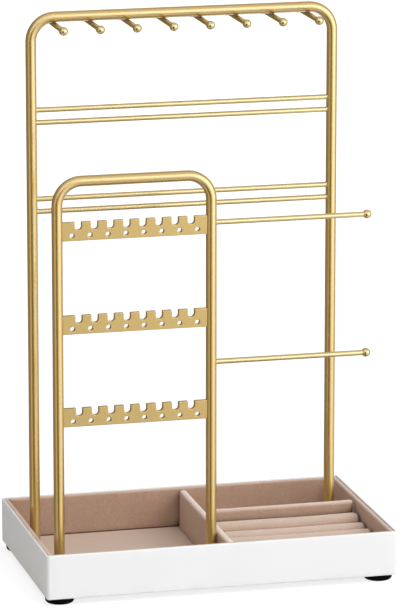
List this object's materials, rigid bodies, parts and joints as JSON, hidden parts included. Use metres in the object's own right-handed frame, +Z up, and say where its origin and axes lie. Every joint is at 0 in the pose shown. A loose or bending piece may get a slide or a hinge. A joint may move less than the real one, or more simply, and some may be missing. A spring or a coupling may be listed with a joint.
{
  "type": "jewellery stand",
  "caption": "Free-standing jewellery stand: open velvet-lined tray with divider and ring rolls, carrying bent-tube frames with pegs, rails, notched earring bars and ball-ended rods.",
  "frame": {"origin": "on the ground, under the middle of the tray, which is the middle of the bounding box's underside", "axes": "+X to the user's right as they face the front, where the shorter frame stands; +Y from the front to the back; +Z up"},
  "size_m": [0.2, 0.1226, 0.3134],
  "materials": {
    "white_leatherette": "smooth fine-grained matt",
    "pink_velvet": "short-pile velvet",
    "satin_gold": "satin gold plating",
    "black_rubber": "matt",
    "zinc_steel": "bright zinc"
  },
  "bodies": {
    "root": {"tray_shell": "white_leatherette", "lining_front": "pink_velvet", "lining_back": "pink_velvet", "lining_left": "pink_velvet", "lining_right": "pink_velvet", "floor_pad_left": "pink_velvet", "floor_pad_right": "pink_velvet", "divider": "pink_velvet", "ring_partition": "pink_velvet", "ring_card": "pink_velvet", "ring_roll_1": "pink_velvet", "ring_roll_2": "pink_velvet", "ring_roll_3": "pink_velvet", "ring_roll_4": "pink_velvet", "ring_roll_5": "pink_velvet", "rear_frame": "satin_gold", "front_frame": "satin_gold", "upper_rail_top": "satin_gold", "upper_rail_bottom": "satin_gold", "lower_rail_top": "satin_gold", "lower_rail_bottom": "satin_gold", "peg_1": "satin_gold", "peg_2": "satin_gold", "peg_3": "satin_gold", "peg_4": "satin_gold", "peg_5": "satin_gold", "peg_6": "satin_gold", "peg_7": "satin_gold", "peg_8": "satin_gold", "earring_bar_top": "satin_gold", "earring_bar_middle": "satin_gold", "earring_bar_bottom": "satin_gold", "bracelet_rod_upper": "satin_gold", "bracelet_rod_lower": "satin_gold", "foot_front_left": "black_rubber", "foot_front_right": "black_rubber", "foot_rear_left": "black_rubber", "foot_rear_right": "black_rubber", "thread_plugs": "zinc_steel", "frame_washers": "zinc_steel", "frame_screws": "zinc_steel"}
  },
  "joints": []
}
